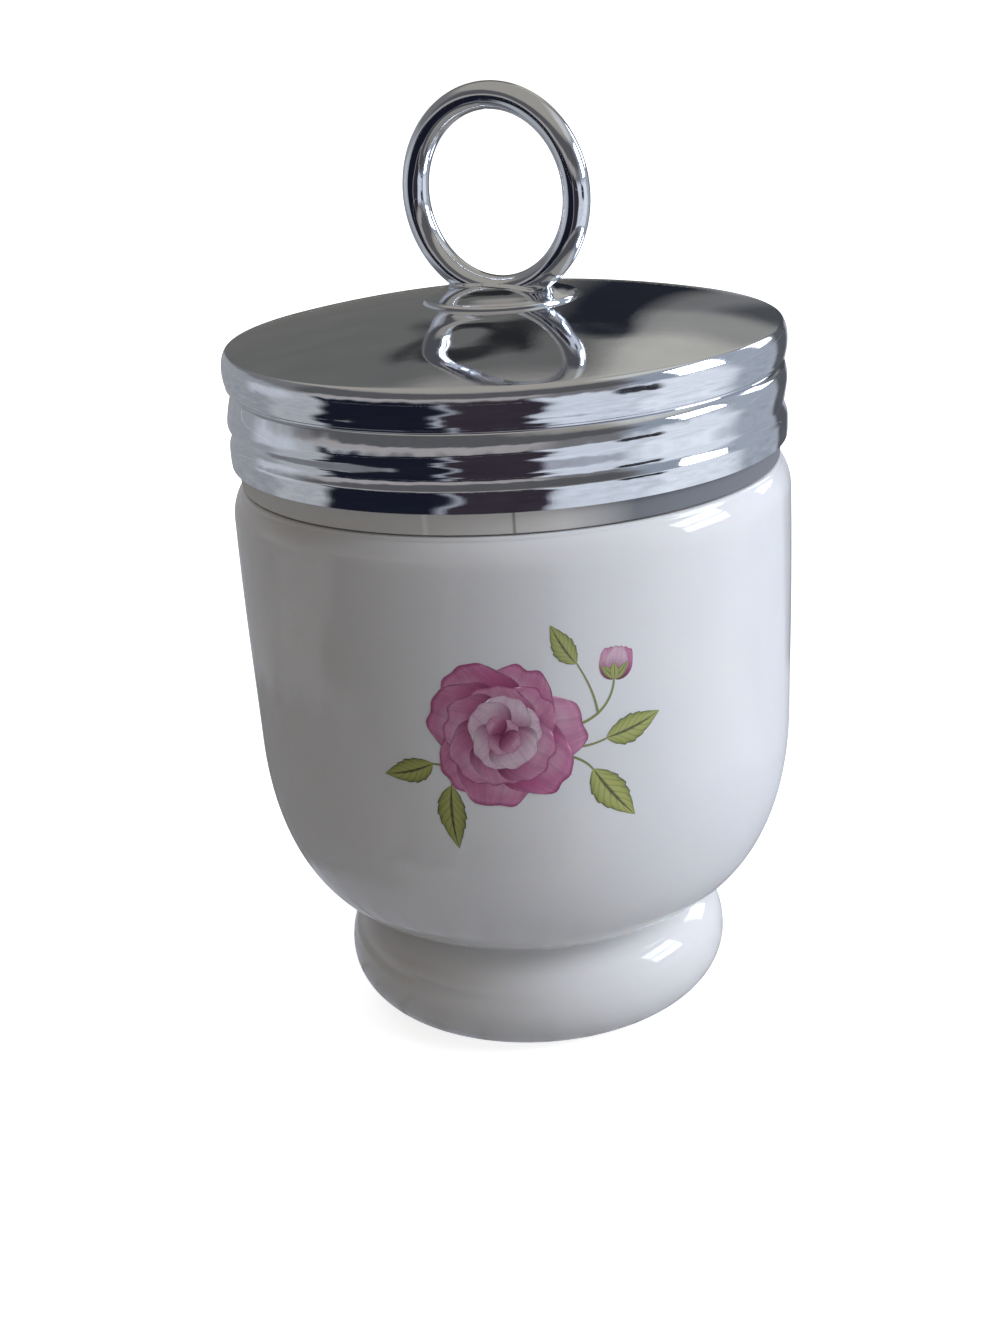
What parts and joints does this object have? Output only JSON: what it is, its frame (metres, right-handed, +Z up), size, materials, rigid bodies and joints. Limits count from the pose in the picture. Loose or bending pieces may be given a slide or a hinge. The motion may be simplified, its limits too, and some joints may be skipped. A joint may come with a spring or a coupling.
{
  "type": "egg coddler",
  "caption": "Footed porcelain egg coddler: a rounded cup with a threaded neck, closed by a domed metal lid that screws down and has a fixed lifting ring on top.",
  "frame": {"origin": "centre of the foot ring, on the surface that the cup stands on", "axes": "+Z up along the common axis of cup and lid; -Y is the decorated front; +X to its right"},
  "size_m": [0.0574, 0.0574, 0.0967],
  "materials": {
    "porcelain": "clear gloss glaze over white porcelain, with a printed blossom on the front",
    "plated_lid": "bright plated sheet metal",
    "plated_boss": "bright plated",
    "plated_ring": "bright plated wire",
    "rivet_steel": "satin",
    "washer_steel": "satin"
  },
  "bodies": {
    "cup": {"cup": "porcelain"},
    "rivet": {"rivet": "rivet_steel"},
    "lid": {"lid_shell": "plated_lid", "ring_base": "plated_boss", "ring_handle": "plated_ring", "rivet_washer": "washer_steel"}
  },
  "joints": [
    {"name": "lid_lift", "type": "slide", "parent": "cup", "child": "rivet", "axis": [0, 0, 1], "range_m": [0, 0.00383]},
    {"name": "lid_turn", "type": "hinge", "parent": "rivet", "child": "lid", "pos_m": [0, 0, 0.0755], "axis": [0, 0, 1], "range_deg": [0, 430]}
  ],
  "couplings": [
    {"joint": "lid_lift", "follows": "lid_turn", "m_per_rad": 0.00050929}
  ]
}
